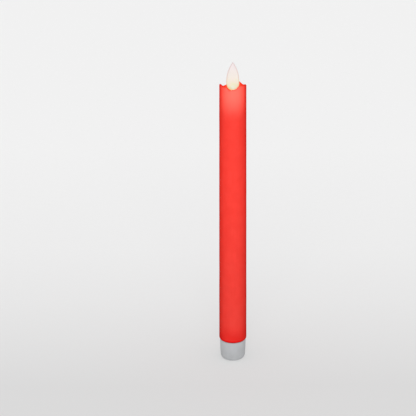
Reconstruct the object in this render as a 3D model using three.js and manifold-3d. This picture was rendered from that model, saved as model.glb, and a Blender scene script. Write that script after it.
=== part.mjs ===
// Flameless LED taper candle with a real-wax sleeve, a swinging flame and a screw-on base cap.
// Millimetres, +Z up. The origin is at the centre of the underside, and -Y is the front.
import * as THREE from 'three';
import { mergeVertices } from 'three/addons/utils/BufferGeometryUtils.js';
import Module from 'manifold-3d';

const wasm = await Module();
wasm.setup();

// ---- Driving dimensions ----------------------------------------------------------------------
const SEAT = 0.1; // gap between pieces that rest on each other
const ROUND = 48; // facets around a large cylinder

const CAP = { height: 16.9, baseRadius: 7.6, edgeRadius: 9.8, topRadius: 10.4, edge: 3.0 };
const CAP_FLOOR = { dish: 0.6, dishRadius: 5.7, top: 2.0 };
const CAP_LEDGE = { radius: 7.7, top: 5.2 }; // the switch board rests on it
const CAP_CHAMBER = { radius: 8.5, top: 6.85 }; // the candle's tube screws down to it
const THREAD = { lead: 4, width: 1.3, rootRadius: 9.5, capCrest: 8.95, tubeCrest: 9.3, start: 0.04 };

// The flame's drive, the collar and the rim are placed from the top of the head shells.
const HEAD_TOP = 225.5;
// The rod narrows from radius at its foot to topRadius at its rim, the draft of its mould.
const WAX = {
  radius: 11, topRadius: 10.7, bore: 9.1, bottom: CAP.height + 0.3, rim: HEAD_TOP + 9.6,
  blendFrom: HEAD_TOP - 1.3,
};
const TUBE = { radius: 8.8, bore: 7.6, bottom: CAP_CHAMBER.top + 0.15, top: 117 };
const SHELL = { bottom: TUBE.top + 1.3, top: HEAD_TOP, split: 0.1 };

const CELL = { radius: 7.15, length: 50.3, nubRadius: 2.75, nubHeight: 1.3 };
const CELLS_BOTTOM = 12;
const CELL_PITCH = CELL.length + 0.05;
const CELLS_TOP = CELLS_BOTTOM + CELL_PITCH + CELL.length;

const FLAME = {
  tip: HEAD_TOP + 27.6, widest: HEAD_TOP + 11.4, bottom: HEAD_TOP + 5, halfWidth: 4.97,
  core: 0.7, dome: 0.75, bevel: 1.3,
};
const PIVOT_Z = HEAD_TOP - 3.3;
const STEM = { width: 2.6, thickness: 1.6, eyeRadius: 2.1, eyeHole: 0.8 };
const MAGNET = { radius: 4, height: 4, top: HEAD_TOP - 12.7 };
const COIL = {
  bottom: HEAD_TOP - 24, top: HEAD_TOP - 17.9, flange: 0.8, flangeRadius: 6, hub: 2.2, winding: 5.5,
};
const COLLAR = { radius: 8.8, bottom: HEAD_TOP + SEAT, top: HEAD_TOP + 1.5 };
const LED = { radius: 1.5, flange: 1.8, y: -3.9, bottom: HEAD_TOP - 2.3, height: 5.3 };

const BOARD = { halfWidth: 5.75, halfThickness: 0.5, bottom: 127, top: 176.5 };
const SCREW = { shank: 0.8, head: 1.7, headHeight: 1.1, headY: -8.35, tipY: 5 };
const SCREW_HEIGHTS = { lower: 123.9, upper: HEAD_TOP - 32.8 };
const BOSS = { front: 2.6, rear: 2.1, gap: 0.35, outer: 8.2, bore: 1.1, headBore: 2.0, headSeat: 6.95 };
const POST = { halfWidth: 1.5, inner: 6.25, outer: 7.3 }; // the two posts that carry the pivot wire
const FRAME_PLATE = { radius: 7.4, thickness: 1.1 };
const WIRE_NOTCHES = [[-4.6, -5.1], [4.6, -5.1], [-5.4, 4.4], [5.4, 4.4]];
const CAPACITOR = { radius: 2.5, height: 7, x: -1.6, y: -3.2, bottom: 134 };
const CRYSTAL = { radius: 1, height: 6, x: 3.6, y: -1.7, bottom: 139 };
const STRIP = { inner: 7.65, outer: 8.0, halfWidth: 1.3, top: 126 };
const WIRE_RADIUS = 0.35;
const SPRING = { turns: 4, wire: 0.35, lowRadius: 4.6, highRadius: 2.6 };
const RING = { bore: 6.6, radius: 8.1, thickness: 0.3 };
const BOARD_DISC = { radius: 8.2, thickness: 1 };
const SWITCH = { x: -1, floor: CAP_FLOOR.top + SEAT, top: CAP_LEDGE.top - SEAT };

// The melted rim: [angle in degrees from +X, height above WAX.rim]. 270 degrees is the front.
const RIM = [
  [0, -0.1], [14, -1.0], [27, -1.7], [39, -2.15], [49, -1.5], [60, -0.6], [76, -1.0], [96, -2.0],
  [112, -2.9], [126, -3.4], [136, -3.55], [144, -2.9], [152, -1.8], [162, -0.8], [180, 0.3],
  [198, 1.0], [213, 0.7], [226, 0.4], [238, 0.6], [245, -0.2], [251, -0.9], [260, -1.35],
  [270, -1.2], [279, -0.6], [287, 0.3], [295, 1.35], [304, 1.75], [318, 1.5], [332, 1.0],
  [346, 0.5],
];

// ---- Materials -------------------------------------------------------------------------------
const material = (color, roughness, metalness = 0, extra = {}) =>
  new THREE.MeshStandardMaterial({ color, roughness, metalness, ...extra });

const MATERIALS = {
  wax: material(0xf0382f, 0.45),
  flame: material(0xf6ecdc, 0.4, 0, { emissive: 0xffb060, emissiveIntensity: 0.4 }),
  casing: material(0xd8d8d6, 0.55),
  cap: material(0xd3d5d8, 0.5),
  collar: material(0xd9352c, 0.5),
  steel: material(0xb9bcc0, 0.3, 1),
  board: material(0x2f7a48, 0.5),
  black: material(0x1c1c1e, 0.5),
  copper: material(0xb56a3a, 0.35, 1),
  lens: material(0xfff1d0, 0.15),
  redWire: material(0xb3201c, 0.5),
  blackWire: material(0x222222, 0.5),
  cell: material(0x9aa0a6, 0.35, 0.6),
};

// ---- Shape helpers ---------------------------------------------------------------------------
const point = (x, y) => new THREE.Vector2(x, y);
const point3 = (x, y, z) => new THREE.Vector3(x, y, z);

// A solid turned about Z from a closed outline of [radius, height] pairs, listed anticlockwise.
// Where the outline touches the axis it starts and ends there.
function turned(outline, facets = ROUND) {
  const onAxis = outline[0][0] === 0;
  const points = outline.map(([r, z]) => point(r, z));
  if (!onAxis) points.push(points[0].clone());
  return new THREE.LatheGeometry(points, facets).rotateX(Math.PI / 2);
}

function disc(radius, bottom, top, facets = ROUND) {
  return turned([[0, bottom], [radius, bottom], [radius, top], [0, top]], facets);
}

function ring(bore, radius, bottom, top, facets = ROUND) {
  return turned([[bore, bottom], [radius, bottom], [radius, top], [bore, top]], facets);
}

function block(x0, x1, y0, y1, z0, z1) {
  const geometry = new THREE.BoxGeometry(x1 - x0, y1 - y0, z1 - z0);
  return geometry.translate((x0 + x1) / 2, (y0 + y1) / 2, (z0 + z1) / 2);
}

// A rod of radius r along Y between y0 and y1, at x and z.
function rodAlongY(r, y0, y1, x, z, facets = 16) {
  const geometry = new THREE.CylinderGeometry(r, r, y1 - y0, facets);
  return geometry.translate(x, (y0 + y1) / 2, z);
}

// A round wire of the given radius through the given points.
function wire(points, radius = WIRE_RADIUS, steps = 16, sides = 6) {
  const section = new THREE.Shape();
  section.absarc(0, 0, radius, 0, 2 * Math.PI);
  const extrudePath = new THREE.CatmullRomCurve3(points, false, 'centripetal');
  return new THREE.ExtrudeGeometry(section, { steps, curveSegments: sides / 2, extrudePath });
}

function toSolid(geometry) {
  const bare = geometry.clone();
  bare.deleteAttribute('normal');
  bare.deleteAttribute('uv');
  const merged = mergeVertices(bare, 1e-4);
  return new wasm.Manifold(new wasm.Mesh({
    numProp: 3,
    vertProperties: merged.attributes.position.array,
    triVerts: Uint32Array.from(merged.index.array),
  }));
}

function toGeometry(solid) {
  const { vertProperties, triVerts } = solid.getMesh();
  const geometry = new THREE.BufferGeometry();
  geometry.setAttribute('position', new THREE.BufferAttribute(vertProperties, 3));
  geometry.setIndex(new THREE.BufferAttribute(triVerts, 1));
  geometry.computeVertexNormals();
  return geometry;
}

const join = (first, ...others) =>
  toGeometry(others.reduce((solid, other) => solid.add(toSolid(other)), toSolid(first)));
const cut = (first, ...tools) =>
  toGeometry(tools.reduce((solid, tool) => solid.subtract(toSolid(tool)), toSolid(first)));
const common = (first, second) => toGeometry(toSolid(first).intersect(toSolid(second)));

// A helical thread ridge: a straight bar with many segments, bent round the axis.
// Its foot is at radius `foot`, its crest at `crest`, and its lower end is at height z.
function threadRidge(foot, crest, z, turns) {
  const stepsPerTurn = 30;
  const steps = Math.round(turns * stepsPerTurn);
  const bar = new THREE.BoxGeometry(turns, 1, 1, steps, 1, 1);
  const position = bar.attributes.position;
  for (let i = 0; i < position.count; i += 1) {
    const turn = position.getX(i) + turns / 2;
    const atCrest = position.getY(i) > 0;
    const radius = atCrest ? crest : foot;
    const width = atCrest ? THREAD.width * 0.6 : THREAD.width;
    const angle = 2 * Math.PI * turn + THREAD.start;
    const height = z + THREAD.lead * turn + position.getZ(i) * width;
    position.setXYZ(i, radius * Math.cos(angle), radius * Math.sin(angle), height);
  }
  if (crest < foot) return bar;
  // Bending the bar with its crest outwards turned its faces inside out.
  const index = bar.index.array;
  for (let i = 0; i < index.length; i += 3) [index[i], index[i + 1]] = [index[i + 1], index[i]];
  return bar;
}

// ---- Wax -------------------------------------------------------------------------------------
// Height of the melted rim at an angle, smooth and closed through the RIM points.
function rimOffset(angle) {
  const count = RIM.length;
  const degrees = (THREE.MathUtils.radToDeg(angle) + 360) % 360;
  const found = RIM.findLastIndex(([at]) => at <= degrees);
  const pick = (i) => {
    const wrapped = (i + count) % count;
    return [RIM[wrapped][0] + 360 * Math.floor(i / count), RIM[wrapped][1]];
  };
  const [a0, h0] = pick(found - 1);
  const [a1, h1] = pick(found);
  const [a2, h2] = pick(found + 1);
  const [a3, h3] = pick(found + 2);
  const t = (degrees - a1) / (a2 - a1);
  const slope1 = ((h2 - h0) / (a2 - a0)) * (a2 - a1);
  const slope2 = ((h3 - h1) / (a3 - a1)) * (a2 - a1);
  return (1 + 2 * t) * (1 - t) ** 2 * h1 + t * (1 - t) ** 2 * slope1
    + t * t * (3 - 2 * t) * h2 + t * t * (t - 1) * slope2;
}

function waxSleeve() {
  const { radius, topRadius, bore, bottom, rim, blendFrom } = WAX;
  const geometry = turned([
    [bore, bottom], [radius - 0.5, bottom], [radius - 0.12, bottom + 0.15],
    [radius, bottom + 0.6], [topRadius, blendFrom], [topRadius, rim - 1.4],
    [topRadius - 0.1, rim - 0.5], [topRadius - 0.35, rim - 0.08], [topRadius - 0.7, rim],
    [topRadius - 1.05, rim - 0.35], [topRadius - 1.3, rim - 1.2], [bore + 0.15, rim - 3],
    [bore, blendFrom + 2.5], [bore, blendFrom],
  ], 80);
  const position = geometry.attributes.position;
  for (let i = 0; i < position.count; i += 1) {
    const z = position.getZ(i);
    const rise = THREE.MathUtils.smoothstep(z, blendFrom + 2.5, rim - 1);
    const angle = Math.atan2(position.getY(i), position.getX(i));
    position.setZ(i, z + rise * rimOffset(angle));
  }
  return geometry;
}

// ---- Battery tube and its contacts -----------------------------------------------------------
function stripGroove(bottom, top) {
  return block(-STRIP.outer - 0.25, -7, -STRIP.halfWidth - 0.4, STRIP.halfWidth + 0.4, bottom, top);
}

function batteryTube() {
  const body = ring(TUBE.bore, TUBE.radius, TUBE.bottom, TUBE.top);
  const ridge = threadRidge(TUBE.radius - 0.3, THREAD.tubeCrest, TUBE.bottom + 1.1, 1.1);
  return cut(join(body, ridge), stripGroove(TUBE.bottom - 1, TUBE.top + 1));
}

function tubeCoupler() {
  const spigot = TUBE.bore - 0.1;
  const low = CELLS_TOP + 0.7;
  const body = turned([
    [0, low], [spigot, low], [spigot, TUBE.top + SEAT], [TUBE.radius, TUBE.top + SEAT],
    [TUBE.radius, SHELL.bottom - SEAT], [spigot, SHELL.bottom - SEAT],
    [spigot, SHELL.bottom + 1.8], [0, SHELL.bottom + 1.8],
  ]);
  const studHole = disc(1.3, low - 1, SHELL.bottom + 3, 20);
  const notch = stripGroove(low - 1, SHELL.bottom + 3);
  return cut(body, studHole, notch.translate(-0.25, 0, 0));
}

function positiveContact() {
  const face = CELLS_TOP + SEAT;
  return turned([
    [0, face], [1.6, face], [2.0, face + 0.15], [4.6, face + 0.15], [4.6, face + 0.5],
    [1.0, face + 0.5], [1.0, SHELL.bottom + 2.6], [0, SHELL.bottom + 2.6],
  ], 24);
}

function negativeStrip() {
  const { inner, outer, halfWidth, top } = STRIP;
  return block(-outer, -inner, -halfWidth, halfWidth, TUBE.bottom + 0.05, top);
}

// ---- Upper shells, screws and collar ---------------------------------------------------------
function headShell(side) {
  const full = ring(TUBE.bore, TUBE.radius, SHELL.bottom, SHELL.top);
  const yInner = side * SHELL.split;
  const yOuter = side * 10;
  const [y0, y1] = side < 0 ? [yOuter, yInner] : [yInner, yOuter];
  let shell = common(full, block(-10, 10, y0, y1, SHELL.bottom - 1, SHELL.top + 1));
  for (const z of Object.values(SCREW_HEIGHTS)) {
    const { front, rear, gap, outer, bore, headBore, headSeat } = BOSS;
    shell = side < 0
      ? join(shell, rodAlongY(front, -outer, -gap, 0, z, 20))
      : join(shell, rodAlongY(rear, gap, outer, 0, z, 20));
    shell = side < 0
      ? cut(shell, rodAlongY(bore, -10, 1, 0, z), rodAlongY(headBore, -10, -headSeat, 0, z, 20))
      : cut(shell, rodAlongY(bore, -1, SCREW.tipY + 1.3, 0, z));
  }
  return cut(shell, stripGroove(SHELL.bottom - 1, STRIP.top + 0.6));
}

function shellScrew(z) {
  const { shank, head, headHeight, headY, tipY } = SCREW;
  const length = tipY - headY;
  const body = turned([
    [0, 0], [head - 0.25, 0], [head, 0.3], [head, headHeight], [shank, headHeight],
    [shank, length - 0.8], [0, length],
  ], 16);
  const slots = [
    block(-1.1, 1.1, -0.2, 0.2, -1, 0.5),
    block(-0.2, 0.2, -1.1, 1.1, -1, 0.5),
  ];
  return cut(body, ...slots).rotateX(-Math.PI / 2).translate(0, headY, z);
}

function wickCollar() {
  const { radius, bottom, top } = COLLAR;
  const plate = turned([
    [0, bottom], [radius, bottom], [radius, top], [radius - 1.6, top], [radius - 2.6, top - 0.4],
    [0, top - 0.4],
  ]);
  const stemSlot = block(-2.9, 2.9, -1.3, 1.3, bottom - 1, top + 1);
  const ledHole = disc(LED.radius + 0.3, bottom - 1, top + 1, 20).translate(0, LED.y, 0);
  return cut(plate, stemSlot, ledHole);
}

// ---- Flame, pivot and coil -------------------------------------------------------------------
function flameOutline(inset) {
  const { tip, widest, bottom, halfWidth } = FLAME;
  const half = halfWidth - inset;
  const top = tip - inset * Math.SQRT2;
  const low = bottom + inset;
  const outline = new THREE.Shape();
  outline.moveTo(0, top);
  outline.bezierCurveTo(-half * 0.64, top - 4.6, -half, top - 9.3, -half, widest);
  outline.bezierCurveTo(-half, widest - 3.7, -half * 0.56, low, 0, low);
  outline.bezierCurveTo(half * 0.56, low, half, widest - 3.7, half, widest);
  outline.bezierCurveTo(half, top - 9.3, half * 0.64, top - 4.6, 0, top);
  return outline;
}

function flameBlade() {
  const { core, dome, bevel } = FLAME;
  const blade = new THREE.ExtrudeGeometry(flameOutline(bevel), {
    depth: core, curveSegments: 9, bevelThickness: dome, bevelSize: bevel, bevelSegments: 3,
  }).translate(0, 0, -core / 2).rotateX(Math.PI / 2);
  const { width, thickness, eyeRadius, eyeHole } = STEM;
  const [w, t] = [width / 2, thickness / 2];
  const stem = block(-w, w, -t, t, MAGNET.top + 0.6, FLAME.bottom + 2);
  const eye = rodAlongY(eyeRadius, -t, t, 0, PIVOT_Z, 24);
  const magnetSeat = disc(MAGNET.radius - 0.4, MAGNET.top + SEAT, MAGNET.top + 0.9, 28);
  const hole = rodAlongY(eyeHole, -2, 2, 0, PIVOT_Z, 20);
  return cut(join(blade, stem, eye, magnetSeat), hole);
}

function coilBobbin() {
  const { bottom, top, flange, flangeRadius, hub } = COIL;
  return turned([
    [0, bottom], [flangeRadius, bottom], [flangeRadius, bottom + flange], [hub, bottom + flange],
    [hub, top - flange], [flangeRadius, top - flange], [flangeRadius, top], [0, top],
  ], 32);
}

function mechanismFrame() {
  const plateTop = COIL.bottom - SEAT;
  const plateBottom = plateTop - FRAME_PLATE.thickness;
  const plate = disc(FRAME_PLATE.radius, plateBottom, plateTop);
  const { halfWidth, inner, outer } = POST;
  const posts = [[-outer, -inner], [inner, outer]].map(([y0, y1]) =>
    block(-halfWidth, halfWidth, y0, y1, plateBottom, PIVOT_Z + 2.2));
  const wireHole = rodAlongY(0.6, -9, 9, 0, PIVOT_Z, 14);
  const notches = WIRE_NOTCHES.map(([x, y]) =>
    disc(0.8, plateBottom - 1, plateTop + 1, 12).translate(x, y, 0));
  return cut(join(plate, ...posts), wireHole, ...notches);
}

function flameLed() {
  const { radius, flange, bottom, height, y } = LED;
  const shoulder = bottom + height - radius;
  const dome = [0, 30, 60].map((degrees) => {
    const angle = THREE.MathUtils.degToRad(degrees);
    return [radius * Math.cos(angle), shoulder + radius * Math.sin(angle)];
  });
  return turned([
    [0, bottom], [flange, bottom], [flange, bottom + 1], [radius, bottom + 1], ...dome,
    [0, bottom + height],
  ], 20).translate(0, y, 0);
}

// ---- Electronics -----------------------------------------------------------------------------
const ELECTRONICS = [
  // name, material, x0, x1, y0, y1, z0, z1: boards and moulded packages
  ['controller_chip', 'black', -2.5, 2.5, -2.2, -0.6, 148, 155],
  ['coil_transistor', 'black', 1.6, 4.2, -1.9, -0.6, 164, 167.4],
  ['ir_receiver', 'black', -3.2, 0.6, -4.0, -0.6, 169.5, 175.5],
];

const BOARD_TOP_PADS = BOARD.top - 1.2;
const BOARD_FOOT_PADS = BOARD.bottom + 3;
const PAD_Y = BOARD.halfThickness + WIRE_RADIUS + 0.1; // a wire's middle where it lies on a pad

function ledWire(side) {
  return wire([
    point3(side * 1.1, LED.y, LED.bottom - 0.1), point3(side * 2.4, -4.8, LED.bottom - 5),
    point3(side * 4.5, -5.1, LED.bottom - 12), point3(side * 4.6, -5.1, COIL.bottom + 3.7),
    point3(side * 4.6, -5.1, COIL.bottom - 1.8), point3(side * 4.4, -4.4, COIL.bottom - 8),
    point3(side * 4.2, -3.2, BOARD.top + 3), point3(side * 3.6, -PAD_Y, BOARD_TOP_PADS),
  ]);
}

function coilWire(side) {
  return wire([
    point3(side * 5.7, 2.6, COIL.bottom + 1.6), point3(side * 6.0, 3.9, COIL.bottom + 1.2),
    point3(side * 5.4, 4.4, COIL.bottom - 0.8), point3(side * 5.3, 4.2, COIL.bottom - 6),
    point3(side * 5.0, 3.6, BOARD.top + 4), point3(side * 4.4, 2.2, BOARD.top + 1.1),
    point3(side * 3.8, PAD_Y, BOARD_TOP_PADS),
  ]);
}

function positiveWire() {
  return wire([
    point3(1.45, 0, SHELL.bottom + 2.2), point3(3.1, -0.3, SHELL.bottom + 3.4),
    point3(4.6, -0.8, BOARD.bottom - 3), point3(4.9, -1.1, BOARD.bottom),
    point3(4.4, -PAD_Y, BOARD_FOOT_PADS),
  ]);
}

function negativeWire() {
  return wire([
    point3(-7.2, 0, STRIP.top - 1), point3(-6.4, -0.4, STRIP.top - 0.6),
    point3(-5.6, -1.2, BOARD.bottom + 0.6), point3(-4.8, -PAD_Y, BOARD_FOOT_PADS),
  ]);
}

// ---- Cells -----------------------------------------------------------------------------------
function cell(bottom) {
  const { radius, length, nubRadius, nubHeight } = CELL;
  const shoulder = bottom + length - nubHeight;
  return turned([
    [0, bottom], [4.6, bottom], [4.9, bottom + 0.2], [radius - 0.5, bottom + 0.2],
    [radius, bottom + 0.7], [radius, shoulder - 0.5], [radius - 0.6, shoulder],
    [nubRadius + 0.3, shoulder], [nubRadius, shoulder + 0.3], [nubRadius, bottom + length - 0.2],
    [nubRadius - 0.3, bottom + length], [0, bottom + length],
  ], 32);
}

// ---- Base cap --------------------------------------------------------------------------------
function capOutline() {
  const { height, baseRadius, edgeRadius, topRadius, edge } = CAP;
  const corner = [0, 30, 60, 90].map((degrees) => {
    const angle = THREE.MathUtils.degToRad(degrees);
    const across = edgeRadius - baseRadius;
    return [baseRadius + across * Math.sin(angle), edge * (1 - Math.cos(angle))];
  });
  return [...corner, [topRadius, height - 0.4], [topRadius - 0.3, height]];
}

function baseCap() {
  const { dish, dishRadius, top } = CAP_FLOOR;
  const shell = turned([
    [0, dish], [dishRadius, dish], [dishRadius + 0.6, 0], ...capOutline(),
    [THREAD.rootRadius, CAP.height], [THREAD.rootRadius, CAP_CHAMBER.top],
    [CAP_CHAMBER.radius, CAP_CHAMBER.top], [CAP_CHAMBER.radius, CAP_LEDGE.top],
    [CAP_LEDGE.radius, CAP_LEDGE.top], [CAP_LEDGE.radius, top], [0, top],
  ]);
  const ridgeStart = TUBE.bottom + 1.1 + THREAD.lead / 2;
  const ridge = threadRidge(THREAD.rootRadius + 0.3, THREAD.capCrest, ridgeStart, 0.9);
  const slot = block(-2.3, 2.3, -1.2, 1.2, -1, top + 1);
  return cut(join(shell, ridge), slot);
}

class SpringCurve extends THREE.Curve {
  getPoint(t, target = new THREE.Vector3()) {
    const angle = 2 * Math.PI * SPRING.turns * t;
    const radius = THREE.MathUtils.lerp(SPRING.lowRadius, SPRING.highRadius, t);
    const low = CAP_LEDGE.top + BOARD_DISC.thickness + 2 * SEAT + SPRING.wire;
    const high = CELLS_BOTTOM - SEAT - SPRING.wire;
    const height = THREE.MathUtils.lerp(low, high, THREE.MathUtils.smoothstep(t, 0.06, 0.94));
    return target.set(radius * Math.cos(angle), radius * Math.sin(angle), height);
  }
}

function capSpring() {
  const section = new THREE.Shape();
  section.absarc(0, 0, SPRING.wire, 0, 2 * Math.PI);
  const extrudePath = new SpringCurve();
  return new THREE.ExtrudeGeometry(section, { steps: 72, curveSegments: 3, extrudePath });
}

function switchBody() {
  const { floor, top } = SWITCH;
  const can = block(-4.3, 4.3, -1.8, 1.8, floor, top);
  const track = block(-3.0, 3.0, -1.3, 1.3, floor + 0.9, floor + 2.1);
  const slot = block(-2.2, 2.2, -1.0, 1.0, floor - 1, floor + 1);
  return cut(can, track, slot);
}

function switchSlider() {
  const { x, floor } = SWITCH;
  const plate = block(x - 1.7, x + 1.7, -1.05, 1.05, floor + 1.1, floor + 1.9);
  const knob = block(x - 0.8, x + 0.8, -0.75, 0.75, CAP_FLOOR.dish + 0.1, floor + 1.5);
  return join(plate, knob);
}

// ---- Assembly --------------------------------------------------------------------------------
function add(parent, name, geometry, materialName) {
  const mesh = new THREE.Mesh(geometry, MATERIALS[materialName]);
  mesh.name = name;
  parent.add(mesh);
}

function addCasing(parent) {
  add(parent, 'wax_sleeve', waxSleeve(), 'wax');
  add(parent, 'battery_tube', batteryTube(), 'casing');
  add(parent, 'tube_coupler', tubeCoupler(), 'casing');
  add(parent, 'head_shell_front', headShell(-1), 'casing');
  add(parent, 'head_shell_rear', headShell(1), 'casing');
  for (const [place, z] of Object.entries(SCREW_HEIGHTS)) {
    add(parent, `shell_screw_${place}`, shellScrew(z), 'steel');
  }
  add(parent, 'wick_collar', wickCollar(), 'collar');
}

function addFlameDrive(parent) {
  const { bottom, top, flange, hub, winding } = COIL;
  add(parent, 'mechanism_frame', mechanismFrame(), 'casing');
  add(parent, 'pivot_wire', rodAlongY(0.4, -7.25, 7.25, 0, PIVOT_Z, 10), 'steel');
  add(parent, 'coil_bobbin', coilBobbin(), 'black');
  const windingGap = flange + 0.05;
  const turns = ring(hub + 0.05, winding, bottom + windingGap, top - windingGap, 32);
  add(parent, 'coil_winding', turns, 'copper');
  add(parent, 'flame_led', flameLed(), 'lens');
}

function addFlame(parent) {
  add(parent, 'flame_blade', flameBlade(), 'flame');
  const { radius, height, top } = MAGNET;
  add(parent, 'flame_magnet', disc(radius, top - height, top, 28), 'steel');
}

function standingCan({ radius, height, x, y, bottom }, facets) {
  return disc(radius, bottom, bottom + height, facets).translate(x, y, 0);
}

function addElectronics(parent) {
  const { halfWidth, halfThickness, bottom, top } = BOARD;
  const board = block(-halfWidth, halfWidth, -halfThickness, halfThickness, bottom, top);
  add(parent, 'control_board', board, 'board');
  for (const [name, slot, ...corners] of ELECTRONICS) add(parent, name, block(...corners), slot);
  add(parent, 'capacitor', standingCan(CAPACITOR, 24), 'black');
  add(parent, 'timer_crystal', standingCan(CRYSTAL, 16), 'steel');
  add(parent, 'positive_contact', positiveContact(), 'steel');
  add(parent, 'negative_strip', negativeStrip(), 'steel');
  add(parent, 'positive_wire', positiveWire(), 'redWire');
  add(parent, 'negative_wire', negativeWire(), 'blackWire');
  add(parent, 'led_wire_positive', ledWire(1), 'redWire');
  add(parent, 'led_wire_negative', ledWire(-1), 'blackWire');
  add(parent, 'coil_wire_start', coilWire(-1), 'copper');
  add(parent, 'coil_wire_end', coilWire(1), 'copper');
}

function addCells(parent) {
  add(parent, 'battery_lower', cell(CELLS_BOTTOM), 'cell');
  add(parent, 'battery_upper', cell(CELLS_BOTTOM + CELL_PITCH), 'cell');
}

function addCap(parent) {
  const boardBottom = CAP_LEDGE.top + SEAT;
  const boardTop = boardBottom + BOARD_DISC.thickness;
  const ringBottom = boardTop + SEAT / 2;
  add(parent, 'base_cap', baseCap(), 'cap');
  add(parent, 'cap_board', disc(BOARD_DISC.radius, boardBottom, boardTop), 'board');
  const contactRing = ring(RING.bore, RING.radius, ringBottom, ringBottom + RING.thickness);
  add(parent, 'contact_ring', contactRing, 'steel');
  add(parent, 'cap_spring', capSpring(), 'steel');
  add(parent, 'switch_body', switchBody(), 'steel');
  add(parent, 'switch_slider', switchSlider(), 'black');
}

const group = new THREE.Group();
addCasing(group);
addFlameDrive(group);
addFlame(group);
addElectronics(group);
addCells(group);
addCap(group);

export default group;
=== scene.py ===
"""Flameless LED taper candle: the visual model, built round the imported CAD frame.

Metres, +Z up and -Y the front, as in the frame. Fine meshes stand for the wax, the flame, the base
cap and the battery tube. The other parts keep their CAD shape, and get smooth shading and a finish,
and some of them a small bevel.
"""

import math

import bmesh
import bpy
from mathutils import Matrix, Vector, noise


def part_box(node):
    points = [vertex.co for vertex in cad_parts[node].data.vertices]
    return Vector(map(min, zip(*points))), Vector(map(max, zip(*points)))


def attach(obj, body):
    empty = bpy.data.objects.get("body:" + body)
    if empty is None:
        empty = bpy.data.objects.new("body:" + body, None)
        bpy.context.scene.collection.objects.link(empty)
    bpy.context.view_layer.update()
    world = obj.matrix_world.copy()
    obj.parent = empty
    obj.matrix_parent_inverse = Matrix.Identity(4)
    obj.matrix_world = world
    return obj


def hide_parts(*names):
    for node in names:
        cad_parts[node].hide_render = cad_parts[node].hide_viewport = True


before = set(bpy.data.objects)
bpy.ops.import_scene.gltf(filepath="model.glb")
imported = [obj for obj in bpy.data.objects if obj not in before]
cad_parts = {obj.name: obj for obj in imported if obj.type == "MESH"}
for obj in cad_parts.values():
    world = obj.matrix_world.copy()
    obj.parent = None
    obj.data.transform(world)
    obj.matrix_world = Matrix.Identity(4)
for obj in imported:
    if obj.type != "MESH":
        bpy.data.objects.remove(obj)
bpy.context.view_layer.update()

MM = 0.001
TURN = math.tau

# ---- Where the CAD parts are -----------------------------------------------------------------
WAX_LOW, WAX_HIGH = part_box("wax_sleeve")
CAP_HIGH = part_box("base_cap")[1]
TUBE_LOW, TUBE_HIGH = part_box("battery_tube")
FLAME_LOW, FLAME_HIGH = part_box("flame_blade")
MAGNET_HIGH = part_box("flame_magnet")[1]
PIVOT_LOW, PIVOT_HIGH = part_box("pivot_wire")
LED_LOW, LED_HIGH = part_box("flame_led")

WAX_RADIUS = WAX_HIGH.x  # at the rod's foot
RIM_RADIUS = 10.4 * MM  # the rod narrows to this; the CAD sleeve narrows to 10.7 mm
WAX_BORE = 9.1 * MM
RIM_HEIGHT = 235.1 * MM  # the level that the melted rim wanders round
WELL_FLOOR = 224.2 * MM  # the melted well starts to widen here
CAP_TOP_RADIUS = CAP_HIGH.x
THREAD = {"lead": 4 * MM, "width": 1.3 * MM, "crest_share": 0.6}


# ---- Mesh helpers ----------------------------------------------------------------------------
def smoothstep(value, low, high):
    t = min(max((value - low) / (high - low), 0.0), 1.0)
    return t * t * (3 - 2 * t)


def polar(radius, angle, z):
    return Vector((radius * math.cos(angle), radius * math.sin(angle), z))


def spaced(start, end, step):
    """Evenly spaced values from start up to, but not including, end, at most a step apart."""
    count = max(1, math.ceil(abs(end - start) / step))
    return [start + (end - start) * i / count for i in range(count)]


def rounded(corners, step=0.3 * MM):
    """A closed outline through (r, z, fillet radius) corners, with arcs for the fillets.
    The straight stretches are divided so that no side is longer than a step."""
    points = []
    count = len(corners)
    for i, (r, z, fillet) in enumerate(corners):
        here = Vector((r, z))
        before = Vector(corners[i - 1][:2])
        after = Vector(corners[(i + 1) % count][:2])
        if fillet == 0:
            points.append(here)
            continue
        back, ahead = (before - here).normalized(), (after - here).normalized()
        half_angle = back.angle(ahead) / 2
        reach = fillet / math.tan(half_angle)
        centre = here + (back + ahead).normalized() * (fillet / math.sin(half_angle))
        start, end = here + back * reach - centre, here + ahead * reach - centre
        turn = start.angle_signed(end)
        steps = max(3, round(abs(turn) / 0.2))
        for k in range(steps + 1):
            angle = -turn * k / steps
            cos, sin = math.cos(angle), math.sin(angle)
            points.append(centre + Vector((start.x * cos - start.y * sin,
                                           start.x * sin + start.y * cos)))
    divided = []
    for i, point in enumerate(points):
        after = points[(i + 1) % len(points)]
        parts = max(1, math.ceil((after - point).length / step))
        divided += [point.lerp(after, k / parts) for k in range(parts)]
    return divided


def turned(profile, columns, shape=None):
    """A bmesh of a closed (r, z) profile turned round Z. shape(r, angle, z) may move a point."""
    mesh = bmesh.new()
    rings = []
    for column in range(columns):
        angle = TURN * column / columns
        rings.append([
            mesh.verts.new(shape(r, angle, z) if shape else polar(r, angle, z))
            for r, z in profile
        ])
    rows = len(profile)
    for column in range(columns):
        this, following = rings[column], rings[(column + 1) % columns]
        for row in range(rows):
            after = (row + 1) % rows
            mesh.faces.new((this[row], following[row], following[after], this[after]))
    bmesh.ops.remove_doubles(mesh, verts=mesh.verts, dist=0.0005 * MM)
    bmesh.ops.recalc_face_normals(mesh, faces=mesh.faces)
    return mesh


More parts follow.
